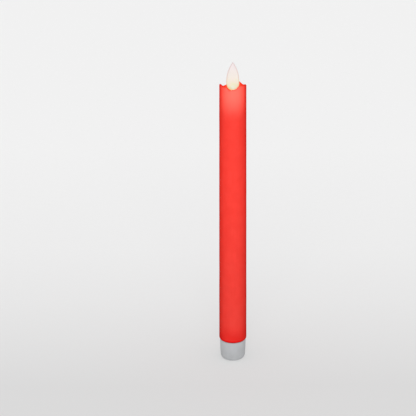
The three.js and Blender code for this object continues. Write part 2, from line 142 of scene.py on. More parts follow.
def prism(outline, low, high, axis="z"):
    """A bmesh of a closed outline pushed along an axis. Its points are (x, y) for axis z, and
    (x, z) for axis y."""
    mesh = bmesh.new()
    place = {
        "z": lambda point, at: Vector((point[0], point[1], at)),
        "y": lambda point, at: Vector((point[0], at, point[1])),
    }[axis]
    ends = [[mesh.verts.new(place(point, at)) for point in outline] for at in (low, high)]
    count = len(outline)
    for i in range(count):
        after = (i + 1) % count
        mesh.faces.new((ends[0][i], ends[0][after], ends[1][after], ends[1][i]))
    mesh.faces.new(ends[0])
    mesh.faces.new(ends[1])
    bmesh.ops.recalc_face_normals(mesh, faces=mesh.faces)
    return mesh


def oval(half_width, half_height, corner, steps=8):
    """A rectangle outline round the origin, with rounded corners."""
    points = []
    for quarter in range(4):
        right, up = ((1, 1), (-1, 1), (-1, -1), (1, -1))[quarter]
        x = right * (half_width - corner)
        y = up * (half_height - corner)
        for k in range(steps + 1):
            angle = math.pi / 2 * (quarter + k / steps)
            points.append((x + corner * math.cos(angle), y + corner * math.sin(angle)))
    return points


def circle(radius, height, steps):
    """A circle's (x, z) points round a height on the axis."""
    angles = [TURN * k / steps for k in range(steps)]
    return [(radius * math.cos(a), height + radius * math.sin(a)) for a in angles]


def to_object(name, mesh):
    data = bpy.data.meshes.new(name)
    mesh.to_mesh(data)
    mesh.free()
    obj = bpy.data.objects.new(name, data)
    bpy.context.scene.collection.objects.link(obj)
    return obj


def combine(obj, mesh, operation):
    """Adds a bmesh to obj ("UNION") or cuts it out ("DIFFERENCE"), and applies the result."""
    tool = to_object(obj.name + "_tool", mesh)
    modifier = obj.modifiers.new("combine", "BOOLEAN")
    modifier.operation = operation
    modifier.object = tool
    modifier.solver = "EXACT"
    graph = bpy.context.evaluated_depsgraph_get()
    result = bpy.data.meshes.new_from_object(obj.evaluated_get(graph))
    obj.modifiers.remove(modifier)
    old = obj.data
    obj.data = result
    bpy.data.meshes.remove(old)
    bpy.data.objects.remove(tool)


def finished(obj, material, slot, body, *nodes, sharp=40):
    """Gives a new piece its finish, smooth shading and body, and hides the CAD nodes it stands for.
    Edges sharper than an angle in degrees stay sharp."""
    obj.data.materials.clear()
    obj.data.materials.append(material)
    obj.data.shade_smooth()
    obj.data.set_sharp_from_angle(angle=math.radians(sharp))
    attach(obj, body)
    if nodes:
        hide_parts(*nodes)
    return obj


# ---- Material helper -------------------------------------------------------------------------
class Finish:
    """A material of procedural nodes. Its textures are placed in the piece's own metres."""

    def __init__(self, name, constants):
        self.material = bpy.data.materials.new(name)
        self.material.use_nodes = True
        self.tree = self.material.node_tree
        self.surface = self.tree.nodes["Principled BSDF"]
        for socket, value in constants.items():
            self.surface.inputs[socket].default_value = value
        self.place = self.add("TexCoord").outputs["Object"]

    def add(self, kind, inputs=None, **settings):
        node = self.tree.nodes.new("ShaderNode" + kind)
        for name, value in settings.items():
            setattr(node, name, value)
        for key, value in (inputs or {}).items():
            if isinstance(value, bpy.types.NodeSocket):
                self.tree.links.new(value, node.inputs[key])
            else:
                node.inputs[key].default_value = value
        return node

    def along(self, axis):
        """The place along x, y or z, in metres."""
        return self.add("SeparateXYZ", {0: self.place}).outputs["xyz".index(axis)]

    def stretched(self, scale):
        return self.add("Mapping", {"Vector": self.place, "Scale": scale}).outputs[0]

    def noise(self, size, detail, scale=(1, 1, 1)):
        """Soft random values; size is the width of a blotch."""
        inputs = {"Vector": self.stretched(scale), "Scale": 1 / size, "Detail": detail}
        return self.add("TexNoise", inputs).outputs[0]

    def range(self, value, low, high, to_low=0.0, to_high=1.0, smooth=True):
        """Maps value from the range low..high to the range to_low..to_high, and clamps it there."""
        inputs = {"Value": value, "From Min": low, "From Max": high, "To Min": to_low,
                  "To Max": to_high}
        kind = "SMOOTHSTEP" if smooth else "LINEAR"
        return self.add("MapRange", inputs, interpolation_type=kind).outputs[0]

    def attribute(self, name):
        return self.add("Attribute", attribute_name=name).outputs["Fac"]

    def distance(self, place):
        return self.add("VectorMath", {0: self.place, 1: place},
                        operation="DISTANCE").outputs["Value"]

    def math(self, operation, first, second=0.0):
        return self.add("Math", {0: first, 1: second}, operation=operation).outputs[0]

    def mix(self, factor, first, second, blend_type="MIX"):
        inputs = {0: factor, 6: first, 7: second}
        return self.add("Mix", inputs, data_type="RGBA", blend_type=blend_type).outputs[2]

    def ramp(self, factor, stops):
        node = self.add("ValToRGB", {0: factor})
        elements = node.color_ramp.elements
        while len(elements) < len(stops):
            elements.new(1.0)
        for element, (position, colour) in zip(elements, stops):
            element.position = position
            element.color = colour
        return node.outputs[0]

    def bump(self, height, depth, under=None):
        """Bumps of a given depth in metres where height goes from 0 to 1."""
        inputs = {"Height": height, "Distance": depth, "Strength": 1.0}
        if under is not None:
            inputs["Normal"] = under
        return self.add("Bump", inputs).outputs[0]

    def set(self, **sockets):
        """Links outputs to the surface's sockets; an underscore stands for a space."""
        for name, output in sockets.items():
            self.tree.links.new(output, self.surface.inputs[name.replace("_", " ")])
        return self.material


def rgb(red, green, blue):
    return (red, green, blue, 1.0)


# ---- Wax -------------------------------------------------------------------------------------
def wax_finish():
    """Dyed wax, satin and slightly cloudy. The flame lamp's glow through it near the rim is painted
    light in the emission, and its foot and lip get painted shade.
    The tinted coat deepens the red where the surface turns away. The mesh's "inside" is 0 on the
    outside of the rod, 1 in the melted well, and in between on the lip."""
    finish = Finish("wax_red", {
        "Specular IOR Level": 0.1,
        "Coat Weight": 1.0,
        "Coat IOR": 1.01,
        "Coat Roughness": 0.5,
        "Coat Tint": rgb(0.88, 0.55, 0.51),
        "Subsurface Weight": 0.3,
        "Subsurface Radius": (1.0, 0.12, 0.08),
        "Subsurface Scale": 3 * MM,
        "Emission Strength": 1.0,
    })
    cloud = finish.noise(9 * MM, 4)
    streak = finish.noise(1.6 * MM, 3, scale=(1, 1, 0.08))
    fleck = finish.noise(0.5 * MM, 2)
    colour = finish.mix(finish.range(cloud, 0.35, 0.7), rgb(0.873, 0.089, 0.073),
                        rgb(0.91, 0.1, 0.083))
    colour = finish.mix(finish.range(streak, 0.5, 0.72, 0, 0.35), colour,
                        rgb(0.84, 0.079, 0.062))
    colour = finish.mix(finish.range(fleck, 0.62, 0.75, 0, 0.2), colour, rgb(0.92, 0.137, 0.116))
    height = finish.along("z")
    # painted shade: the rod's colour gets darker over its lowest 19 mm towards the foot
    low = finish.range(height, WAX_LOW.z, WAX_LOW.z + 19 * MM, 1.0, 0.0)
    colour = finish.mix(low, colour, rgb(0.92, 0.42, 0.44), "MULTIPLY")
    # painted shade: a dark red band round the rod's rounded foot, just above the cap
    foot = finish.range(height, WAX_LOW.z + 1.0 * MM, WAX_LOW.z + 2.0 * MM, 1.0, 0.0)
    colour = finish.mix(foot, colour, rgb(0.78, 0.0, 0.0))
    roughness = finish.range(finish.noise(3 * MM, 4), 0.3, 0.7, 0.46, 0.58)
    grain = finish.bump(finish.noise(0.35 * MM, 3), 0.006 * MM)
    normal = finish.bump(streak, 0.02 * MM, grain)

    inside = finish.attribute("inside")
    lip = finish.math("MULTIPLY", finish.range(inside, 0.0, 0.3),
                      finish.range(inside, 0.7, 1.0, 1.0, 0.0))
    # painted shade: the melted lip is darkened to a deeper red, less so at its very front
    deep = finish.range(finish.along("y"), -WAX_RADIUS, -0.3 * WAX_RADIUS, 0.3, 0.75)
    colour = finish.mix(finish.math("MULTIPLY", lip, deep), colour, rgb(0.82, 0.022, 0.003))
    # painted light: the lamp's glow through the wax, fading out below the lamp's top, strongest at
    # the front where the lamp sits, weaker at the back, and up to 0.9 on the well's inside
    downwards = finish.range(height, LED_HIGH.z - 21 * MM, LED_HIGH.z + 1.5 * MM)
    front = finish.range(finish.along("y"), -WAX_RADIUS, -0.33 * WAX_RADIUS, 1.0, 0.2)
    back = finish.range(finish.along("y"), 0.1 * WAX_RADIUS, WAX_RADIUS, 0.0, 0.35)
    well = finish.range(inside, 0.4, 0.8)
    around = finish.math("MAXIMUM", finish.math("ADD", front, back),
                         finish.math("MULTIPLY", well, 0.9))
    painted_glow = finish.math("MULTIPLY", downwards, around)
    # painted light: on the lip the glow is a deeper red
    through = finish.mix(finish.math("MULTIPLY", lip, deep), rgb(0.555, 0.258, 0.214),
                         rgb(0.555, 0.055, 0.011))
    painted_glow_colour = finish.mix(well, through, rgb(0.62, 0.19, 0.066))
    # painted light: a faint red glow over the whole rod, rising from the foot to three quarters of
    # the rim's height
    painted_base_glow_rise = finish.range(height, WAX_LOW.z, 0.75 * RIM_HEIGHT)
    painted_base_glow = finish.mix(painted_base_glow_rise, rgb(0, 0, 0), rgb(0.172, 0.007, 0.002))
    light = finish.mix(painted_glow, painted_base_glow, painted_glow_colour)
    return finish.set(Base_Color=colour, Roughness=roughness, Normal=normal,
                      Emission_Color=light)


def rim_levels():
    """How far the CAD sleeve's melted rim lies above or below its level, column by column."""
    columns = 80  # as many as the CAD sleeve has
    tops = [0.0] * columns
    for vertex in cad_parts["wax_sleeve"].data.vertices:
        x, y, z = vertex.co
        column = round(math.atan2(y, x) / TURN * columns) % columns
        tops[column] = max(tops[column], z)
    return [top - RIM_HEIGHT for top in tops]


def rim_curve(levels, angle):
    """The rim's level at an angle, smooth through the columns (Catmull-Rom)."""
    count = len(levels)
    place = angle / TURN * count
    index = math.floor(place)
    t = place - index
    a, b, c, d = (levels[(index + k) % count] for k in (-1, 0, 1, 2))
    return b + 0.5 * t * (c - a + t * (2 * a - 5 * b + 4 * c - d + t * (3 * (b - c) + d - a)))


def rim_swell(angle):
    """What the coarse rim of the CAD sleeve leaves out where it dips before the flame's foot."""
    swells = ((266, 12, 0.42), (251, 8, -0.32), (284, 8, -0.22))  # degrees, reach, millimetres up
    height = 0.0
    for at, reach, swell in swells:
        away = abs(math.degrees(angle) - at)
        height += swell * MM * (1 - smoothstep(away, 0, reach))
    return height


def wax_body():
    """The rod's wax: a tube with a rounded foot, faint dents, and the melted rim."""
    radius, bore, rim = WAX_RADIUS, WAX_BORE, RIM_HEIGHT

    def outer_radius(z):
        share = min((z - WAX_LOW.z) / (WELL_FLOOR - WAX_LOW.z), 1.0)
        return radius + (RIM_RADIUS - radius) * share

    levels = rim_levels()
    foot = 1.1 * MM
    outside = [Vector((radius - foot, WAX_LOW.z))]
    outside += [
        Vector((radius - foot + foot * math.sin(a), WAX_LOW.z + foot * (1 - math.cos(a))))
        for a in (math.pi / 16 * k for k in range(1, 9))
    ]
    outside += [Vector((outer_radius(z), z))
                for z in (*spaced(WAX_LOW.z + 1.5 * foot, WELL_FLOOR, 2 * MM),
                          *spaced(WELL_FLOOR, rim - 2 * MM, 0.5 * MM))]
    wall = RIM_RADIUS - bore
    corners = [
        (0.0, -1.6), (0.02, -1.0), (0.075, -0.5), (0.21, -0.13), (0.42, 0.0), (0.61, -0.17),
        (0.74, -0.6), (0.81, -1.3), (0.86, -2.2), (0.91, -3.4), (1.0, -5.0),
    ]  # the lip's section: the share of the wall inwards, and millimetres up from the rim
    lip = [Vector((RIM_RADIUS - inwards * wall, rim + up * MM)) for inwards, up in corners]
    lip = [start.lerp(end, k / 2) for start, end in zip(lip, lip[1:]) for k in range(2)]
    well = [Vector((bore, z)) for z in spaced(rim - 6 * MM, WELL_FLOOR, 0.6 * MM)]
    well += [Vector((bore, z)) for z in spaced(WELL_FLOOR, WAX_LOW.z + 1 * MM, 4 * MM)]
    well += [Vector((bore, WAX_LOW.z))]

    def shape(r, angle, z):
        melted = smoothstep(z, WELL_FLOOR + 2.5 * MM, rim - 1 * MM)
        outer = smoothstep(r, bore + 0.6 * MM, RIM_RADIUS - 0.4 * MM)
        place = polar(1.0, angle, 0.0)
        dents = noise.noise(Vector((place.x * 2.1, place.y * 2.1, z * 45))) * 0.07 * MM
        ripple = noise.noise(Vector((place.x * 5, place.y * 5, z * 160))) * 0.025 * MM
        drips = noise.noise(Vector((place.x * 3.3, place.y * 3.3, z * 120 + 7))) * 0.35 * MM
        above_foot = smoothstep(z, WAX_LOW.z, WAX_LOW.z + 4 * MM)
        moved = r + outer * above_foot * (dents + ripple) + (1 - outer) * melted * drips
        waver = noise.noise(Vector((place.x * 6, place.y * 6, 3.7))) * 0.12 * MM
        level = rim_curve(levels, angle) + rim_swell(angle) + waver
        return polar(moved, angle, z + melted * level)

    columns = 240
    mesh = turned(outside + lip + well, columns, shape)
    shares = [0.0] * len(outside) + [k / len(lip) for k in range(len(lip))] + [1.0] * len(well)
    inside = mesh.verts.layers.float.new("inside")
    for i, vertex in enumerate(mesh.verts):
        vertex[inside] = shares[i % len(shares)]
    obj = to_object("wax_body", mesh)
    return finished(obj, wax_finish(), "wax", "candle", "wax_sleeve", sharp=60)


# ---- Flame -----------------------------------------------------------------------------------
FLAME_WIDEST = 236.9 * MM
FLAME_FOOT = 230.5 * MM
STEM = {"width": 2.6 * MM, "thickness": 1.6 * MM, "eye": 2.1 * MM, "hole": 0.8 * MM}


def flame_finish():
    """Milky moulded plastic. The lamp's warm light in its foot, a pale spot above the lamp and the
    light and shade along its outline are painted into its colour and emission.
    The mesh's "edge" is 1 along the blade's outline and 0 on its face."""
    finish = Finish("flame_milk", {
        "Specular IOR Level": 0.3,
        "Subsurface Weight": 0.3,
        "Subsurface Radius": (1.0, 0.8, 0.6),
        "Subsurface Scale": 1.0 * MM,
        "Emission Strength": 1.0,
    })
    height = finish.range(finish.along("z"), FLAME_FOOT, FLAME_HIGH.z, 0, 1, False)
    swirl = finish.noise(2.5 * MM, 3)
    uneven = finish.math("ADD", height, finish.range(swirl, 0.3, 0.7, -0.04, 0.04))
    # painted light: the lamp's warm light, strongest in the foot and fading up the blade, is
    # painted into the base colour and the emission
    colour = finish.ramp(uneven, [
        (0.0, rgb(0.3, 0.29, 0.14)), (0.2, rgb(0.3, 0.29, 0.19)), (0.42, rgb(0.3, 0.28, 0.24)),
        (1.0, rgb(0.3, 0.275, 0.27)),
    ])
    light = finish.ramp(uneven, [
        (0.0, rgb(0.4, 0.55, 0.34)), (0.2, rgb(0.5, 0.58, 0.45)), (0.42, rgb(0.56, 0.55, 0.51)),
        (1.0, rgb(0.56, 0.475, 0.51)),
    ])
    edge = finish.attribute("edge")
    # painted light and shade along the bevelled outline: its own glow in the emission, and a darker
    # base colour
    painted_edge_glow = finish.ramp(uneven, [
        (0.0, rgb(0.45, 0.5, 0.16)), (0.3, rgb(0.54, 0.44, 0.3)), (0.6, rgb(0.52, 0.41, 0.39)),
        (1.0, rgb(0.48, 0.41, 0.42)),
    ])
    light = finish.mix(edge, light, painted_edge_glow)
    colour = finish.mix(edge, colour, rgb(0.24, 0.2, 0.18))
    # painted light: a pale spot above the lamp, added to the emission
    painted_lamp_spot = finish.distance((0.0, -1.1 * MM, FLAME_FOOT + 2.4 * MM))
    painted_lamp_spot = finish.range(painted_lamp_spot, 0.3 * MM, 2.6 * MM, 0.18, 0.0)
    light = finish.mix(painted_lamp_spot, light, rgb(0.0, 0.4, 1.0), "ADD")
    roughness = finish.range(finish.noise(0.8 * MM, 3), 0.3, 0.7, 0.4, 0.52)
    normal = finish.bump(finish.noise(0.25 * MM, 2), 0.004 * MM)
    return finish.set(Base_Color=colour, Emission_Color=light, Roughness=roughness,
                      Normal=normal)


def bezier(p0, p1, p2, p3, steps):
    """Points on a cubic curve, without its end."""
    points = []
    for k in range(steps):
        t = k / steps
        points.append(((1 - t) ** 3 * p0 + 3 * t * (1 - t) ** 2 * p1
                       + 3 * t * t * (1 - t) * p2 + t ** 3 * p3))
    return points


def flame_outline():
    """The teardrop's edge as (x, z) points, from the tip down the left side and up the right."""
    half, tip, wide, foot = FLAME_HIGH.x, FLAME_HIGH.z, FLAME_WIDEST, FLAME_FOOT
    left = bezier(Vector((0, tip)), Vector((-0.64 * half, tip - 4.6 * MM)),
                  Vector((-half, tip - 9.3 * MM)), Vector((-half, wide)), 40)
    left += bezier(Vector((-half, wide)), Vector((-half, wide - 4.1 * MM)),
                   Vector((-0.66 * half, foot)), Vector((0, foot)), 24)
    right = [Vector((-point.x, point.y)) for point in reversed(left[1:])]
    return left + [Vector((0, foot))] + right


def flame_blade():
    """The lens-thick teardrop: rings of points that shrink from the edge to the spine."""
    half_thickness, edge, crown, roll = 1.1 * MM, 0.28 * MM, 0.12 * MM, 1.5 * MM
    outline = flame_outline()
    spine_low, spine_high = FLAME_FOOT + 5 * MM, FLAME_HIGH.z - 5.5 * MM
    shares = [1.0, 0.985, 0.96, 0.92, 0.87, 0.8, 0.7, 0.58, 0.45, 0.3, 0.15]
    mesh = bmesh.new()
    edge_layer = mesh.verts.layers.float.new("edge")

    def ring(share, side):
        points = []
        for point in outline:
            spine = Vector((0.0, min(max(point.y, spine_low), spine_high)))
            at = spine.lerp(point, share)
            inset = (point - at).length
            swell = math.sqrt(1 - (1 - min(inset / roll, 1.0)) ** 2)
            rise = crown * (1 - share * share)
            thickness = edge + (half_thickness - edge - crown) * swell + rise
            vertex = mesh.verts.new((at.x, side * thickness, at.y))
            vertex[edge_layer] = 1 - smoothstep(inset, 0.25 * MM, 1.0 * MM)
            points.append(vertex)
        return points

    rim_front, rim_back = ring(1.0, -1), ring(1.0, 1)
    count = len(outline)

    def bridge(first, second):
        for i in range(count):
            after = (i + 1) % count
            corners = (first[i], first[after], second[after], second[i])
            if len(set(corners)) == 4:
                mesh.faces.new(corners)

    bridge(rim_front, rim_back)
    for side, outer in ((-1, rim_front), (1, rim_back)):
        for share in shares[1:]:
            inner = ring(share, side)
            bridge(outer, inner)
            outer = inner
        left = outer[: count // 2 + 1]
        right = [outer[0]] + list(reversed(outer[count // 2:]))
        for i in range(len(left) - 1):
            corners = []
            for vertex in (left[i], left[i + 1], right[i + 1], right[i]):
                if vertex not in corners:
                    corners.append(vertex)
            if len(corners) > 2:
                mesh.faces.new(corners)
    bmesh.ops.remove_doubles(mesh, verts=mesh.verts, dist=0.01 * MM)
    bmesh.ops.recalc_face_normals(mesh, faces=mesh.faces)
    return mesh


def flame_body():
    """The flame with its hidden stem, the eye it hangs by and the seat of its magnet."""
    obj = to_object("flame_body", flame_blade())
    pivot = (PIVOT_LOW.z + PIVOT_HIGH.z) / 2  # the eye and its hole are circles round this height
    half_width, half_thickness = STEM["width"] / 2, STEM["thickness"] / 2
    low, high = FLAME_LOW.z + 0.3 * MM, FLAME_FOOT + 2 * MM
    stem = prism(oval(half_width, half_thickness, 0.35 * MM, steps=5), low, high)
    combine(obj, stem, "UNION")
    half_eye = half_thickness + 0.02 * MM
    combine(obj, prism(circle(STEM["eye"], pivot, 48), -half_eye, half_eye, "y"), "UNION")
    seat_radius, seat_top = MAGNET_HIGH.x - 0.4 * MM, FLAME_LOW.z + 0.8 * MM
    seat = rounded([
        (0, FLAME_LOW.z, 0), (seat_radius, FLAME_LOW.z, 0.12 * MM),
        (seat_radius, seat_top, 0.25 * MM), (0, seat_top, 0),
    ])
    combine(obj, turned(seat, 64), "UNION")
    combine(obj, prism(circle(STEM["hole"], pivot, 32), -3 * MM, 3 * MM, "y"), "DIFFERENCE")
    return finished(obj, flame_finish(), "flame", "flame", "flame_blade", sharp=50)


# ---- Base cap and battery tube ---------------------------------------------------------------
def cap_finish():
    """Light grey moulded plastic with a fine spark-eroded grain."""
    finish = Finish("cap_grey", {"Specular IOR Level": 0.35})
    cloud = finish.noise(6 * MM, 3)
    colour = finish.mix(finish.range(cloud, 0.3, 0.7), rgb(0.37, 0.377, 0.388),
                        rgb(0.4, 0.407, 0.418))
    # painted light: the cap's colour gets lighter towards its top
    painted_top_light = finish.range(finish.along("z"), 0.2 * CAP_HIGH.z, CAP_HIGH.z, 0.0, 0.25)
    colour = finish.mix(painted_top_light, colour, rgb(0.6, 0.61, 0.63))
    speck = finish.noise(0.25 * MM, 2)
    colour = finish.mix(finish.range(speck, 0.6, 0.75, 0, 0.18), colour, rgb(0.33, 0.33, 0.34))
    roughness = finish.range(finish.noise(1.5 * MM, 3), 0.3, 0.7, 0.44, 0.56)
    normal = finish.bump(finish.noise(0.18 * MM, 2), 0.006 * MM)
    return finish.set(Base_Color=colour, Roughness=roughness, Normal=normal)


def thread_height(angle, z, start_z, turns):
    """0 between the turns of a helical ridge and 1 on its crest, fading out at its two ends."""
    height = 0.0
    half_foot = THREAD["width"] / 2
    half_crest = half_foot * THREAD["crest_share"]
    for lap in range(math.ceil(turns) + 1):
        turn = lap + (angle % TURN) / TURN
        if turn > turns:
            continue
        away = abs(z - start_z - THREAD["lead"] * turn)
        fade = smoothstep(turn, 0, 0.06) * smoothstep(turns - turn, 0, 0.06)
        height = max(height, fade * smoothstep(half_foot - away, 0, half_foot - half_crest))
    return height


def cap_shell():
    """The screw cap: drafted and finely ribbed outside, with the thread and the floor inside."""
    top, height = CAP_TOP_RADIUS, CAP_HIGH.z
    belly, belly_height = 10.25 * MM, 9 * MM
    edge_radius, foot_radius, edge = 9.85 * MM, 7.6 * MM, 3.0 * MM
    dish, dish_radius, floor = 0.6 * MM, 5.7 * MM, 2.0 * MM
    root, crest, chamber, ledge = 9.5 * MM, 8.95 * MM, 8.5 * MM, 7.7 * MM
    chamber_low, ledge_top = 6.85 * MM, 5.2 * MM
    thread_start, thread_turns = 10.1 * MM, 0.9
    ribs, rib_depth = 66, 0.085 * MM
    arc = [
        (foot_radius + (edge_radius - foot_radius) * math.sin(a), edge * (1 - math.cos(a)), 0)
        for a in (math.pi / 28 * k for k in range(1, 15))
    ]
    profile = rounded([
        (0, dish, 0), (dish_radius, dish, 0.15 * MM), (6.3 * MM, 0, 0.1 * MM),
        (foot_radius, 0, 0), *arc, (belly, belly_height, 60 * MM),
        (top, height, 0.28 * MM), (root, height, 0.1 * MM),
        (root, chamber_low, 0.1 * MM), (chamber, chamber_low, 0.1 * MM), (chamber, ledge_top, 0),
        (ledge, ledge_top, 0.1 * MM), (ledge, floor, 0.2 * MM), (0, floor, 0),
    ], 0.28 * MM)

    def shape(r, angle, z):
        if abs(r - root) < 0.02 * MM and z > 7.2 * MM:
            return polar(r - (root - crest) * thread_height(angle, z, thread_start, thread_turns),
                         angle, z)
        if r > root + 0.3 * MM:  # outside
            fade = smoothstep(z, 2.6 * MM, 4.6 * MM) * smoothstep(height - z, 0.8 * MM, 1.6 * MM)
            groove = 0.5 - 0.5 * math.cos(ribs * angle)
            return polar(r - fade * rib_depth * groove ** 2, angle, z)
        return polar(r, angle, z)

    obj = to_object("cap_shell", turned(profile, ribs * 6, shape))
    slot = oval(2.3 * MM, 1.2 * MM, 0.35 * MM)
    combine(obj, prism(slot, -1 * MM, 3 * MM), "DIFFERENCE")
    return finished(obj, cap_finish(), "cap", "cap", "base_cap", sharp=35)


def tube_finish(name="tube_white"):
    """Natural white polypropylene: slightly waxy and clouded."""
    finish = Finish(name, {
        "Specular IOR Level": 0.4,
        "Subsurface Weight": 0.15,
        "Subsurface Radius": (1.0, 0.9, 0.8),
        "Subsurface Scale": 1.0 * MM,
    })
    flow = finish.noise(5 * MM, 3, scale=(1, 1, 0.25))
    colour = finish.mix(finish.range(flow, 0.3, 0.7), rgb(0.72, 0.72, 0.7), rgb(0.8, 0.8, 0.785))
    roughness = finish.range(finish.noise(1.2 * MM, 3), 0.3, 0.7, 0.34, 0.5)
    normal = finish.bump(finish.noise(0.4 * MM, 2), 0.005 * MM)
    return finish.set(Base_Color=colour, Roughness=roughness, Normal=normal)


def battery_tube():
    """The inner tube with the male thread at its foot and the groove of the negative strip."""
    bore, radius, crest = 7.6 * MM, 8.8 * MM, 9.3 * MM
    low, high = TUBE_LOW.z, TUBE_HIGH.z
    thread_start, thread_turns = low + 1.1 * MM, 1.1
    thread_end = thread_start + THREAD["lead"] * thread_turns + 1.2 * MM
    chamfer = 0.2 * MM
    outline = [Vector((bore, low)), Vector((radius - chamfer, low))]
    outline += [Vector((radius, low + chamfer))]
    outline += [Vector((radius, z)) for z in spaced(low + 0.3 * MM, thread_end, 0.15 * MM)]
    outline += [Vector((radius, z)) for z in spaced(thread_end, high, 6 * MM)]
    outline += [Vector((radius, high - 0.1 * MM)), Vector((radius - 0.1 * MM, high))]
    outline += [Vector((bore + 0.1 * MM, high)), Vector((bore, high - 0.1 * MM))]
    outline += [Vector((bore, z)) for z in spaced(high - 1 * MM, low + 1 * MM, 12 * MM)]

    def shape(r, angle, z):
        if r < radius - 0.02 * MM or z > thread_end:
            return polar(r, angle, z)
        return polar(r + (crest - radius) * thread_height(angle, z, thread_start, thread_turns),
                     angle, z)

    obj = to_object("tube_body", turned(outline, 180, shape))
    deep, inner, half = 8.25 * MM, 7 * MM, 1.7 * MM
    groove = [(-deep, -half), (-inner, -half), (-inner, half), (-deep, half)]
    combine(obj, prism(groove, low - 1 * MM, high + 1 * MM), "DIFFERENCE")
    return finished(obj, tube_finish(), "casing", "candle", "battery_tube", sharp=35)


# ---- The other CAD parts ---------------------------------------------------------------------
def moulded(name, dark, light, roughness=(0.38, 0.54)):
    """A moulded plastic: two close tones in soft blotches, an eroded grain, uneven gloss."""
    blotch, grain, depth = 4 * MM, 0.2 * MM, 0.005 * MM
    finish = Finish(name, {})
    blotches = finish.range(finish.noise(blotch, 3), 0.3, 0.7)
    gloss = finish.range(finish.noise(blotch / 3, 3), 0.3, 0.7, *roughness)
    normal = finish.bump(finish.noise(grain, 2), depth)
    return finish.set(Base_Color=finish.mix(blotches, dark, light), Roughness=gloss,
                      Normal=normal)


def metal(name, dark, light, roughness=(0.22, 0.4), draw=(1, 1, 1), size=0.4 * MM):
    """A bare metal with tool or drawing marks, which run along the axis that draw makes small."""
    finish = Finish(name, {"Metallic": 1.0})
    marks = finish.noise(size, 4, scale=draw)
    stain = finish.range(finish.noise(5 * MM, 3), 0.35, 0.7)
    gloss = finish.range(marks, 0.3, 0.7, *roughness)
    normal = finish.bump(marks, 0.004 * MM)
    return finish.set(Base_Color=finish.mix(stain, dark, light), Roughness=gloss, Normal=normal)


def board_finish():
    """Green solder mask over copper tracks, with tinned pads."""
    finish = Finish("board_green", {"Coat Weight": 0.3, "Coat Roughness": 0.2})
    x, y, z = (finish.along(axis) for axis in "xyz")
    flat = finish.add("CombineXYZ", {0: finish.math("ADD", x, y), 1: z}).outputs[0]
    bricks = finish.add("TexBrick", {
        "Vector": flat, "Scale": 1 / (4 * MM), "Mortar Size": 0.045, "Mortar Smooth": 0.1,
    })
    tracks = bricks.outputs["Fac"]
    weave = finish.noise(0.5 * MM, 2)
    mask = finish.mix(finish.range(weave, 0.3, 0.7), rgb(0.007, 0.07, 0.028),
                      rgb(0.012, 0.095, 0.038))
    colour = finish.mix(tracks, mask, rgb(0.03, 0.16, 0.07))
    cells = finish.add("TexVoronoi", {"Vector": finish.place, "Scale": 1 / (3 * MM)})
    pads = finish.range(cells.outputs["Distance"], 0.13, 0.17, 1, 0)
    colour = finish.mix(pads, colour, rgb(0.62, 0.62, 0.6))
    metallic = finish.math("MULTIPLY", pads, 0.9)
    roughness = finish.range(finish.noise(1 * MM, 2), 0.3, 0.7, 0.32, 0.45)
    normal = finish.bump(finish.math("MAXIMUM", tracks, pads), 0.03 * MM)
    return finish.set(Base_Color=colour, Metallic=metallic, Roughness=roughness, Normal=normal)


def cell_finish(low, high):
    """A cell in a plain printed shrink sleeve with a pale band; its two ends are bare steel."""
    finish = Finish("cell_sleeve", {"Coat Weight": 0.4, "Coat Roughness": 0.12})
    height = finish.along("z")
    radius = finish.add("VectorMath", {
        0: finish.add("CombineXYZ", {0: finish.along("x"), 1: finish.along("y")}).outputs[0],
    }, operation="LENGTH").outputs["Value"]
    foil = finish.noise(0.3 * MM, 3, scale=(1, 1, 0.05))
    sleeve = finish.mix(finish.range(foil, 0.3, 0.7), rgb(0.05, 0.11, 0.2), rgb(0.07, 0.14, 0.25))
    length = high - low
    band = finish.math("MULTIPLY", finish.range(height, low + 0.76 * length, low + 0.765 * length),
                       finish.range(height, high - 6.0 * MM, high - 5.9 * MM, 1, 0))
    sleeve = finish.mix(band, sleeve, rgb(0.62, 0.66, 0.68))
    end = finish.range(radius, 6.2 * MM, 6.25 * MM, 1, 0)
    colour = finish.mix(end, sleeve, rgb(0.6, 0.6, 0.59))
    scuffs = finish.range(finish.noise(0.8 * MM, 4), 0.62, 0.8, 0, 0.15)
    colour = finish.mix(scuffs, colour, rgb(0.5, 0.5, 0.5))
    roughness = finish.range(foil, 0.3, 0.7, 0.28, 0.42)
    return finish.set(Base_Color=colour, Metallic=finish.math("MULTIPLY", end, 0.95),
                      Roughness=roughness, Normal=finish.bump(foil, 0.004 * MM))


def lens_finish():
    """The clear warm-white lamp: glowing resin, brightest in its dome."""
    finish = Finish("lens_warm", {"Roughness": 0.12, "Coat Weight": 0.5, "Coat Roughness": 0.05,
                                  "Emission Strength": 1.0})
    height = finish.range(finish.along("z"), LED_LOW.z, LED_HIGH.z, 0, 1, False)
    swirl = finish.noise(0.8 * MM, 2)
    colour = finish.mix(finish.range(swirl, 0.3, 0.7), rgb(0.8, 0.68, 0.4), rgb(0.85, 0.76, 0.5))
    light = finish.ramp(height, [(0.0, rgb(0.1, 0.06, 0.02)), (0.55, rgb(1.2, 0.8, 0.35)),
                                 (1.0, rgb(3.0, 2.4, 1.4))])
    return finish.set(Base_Color=colour, Emission_Color=light)


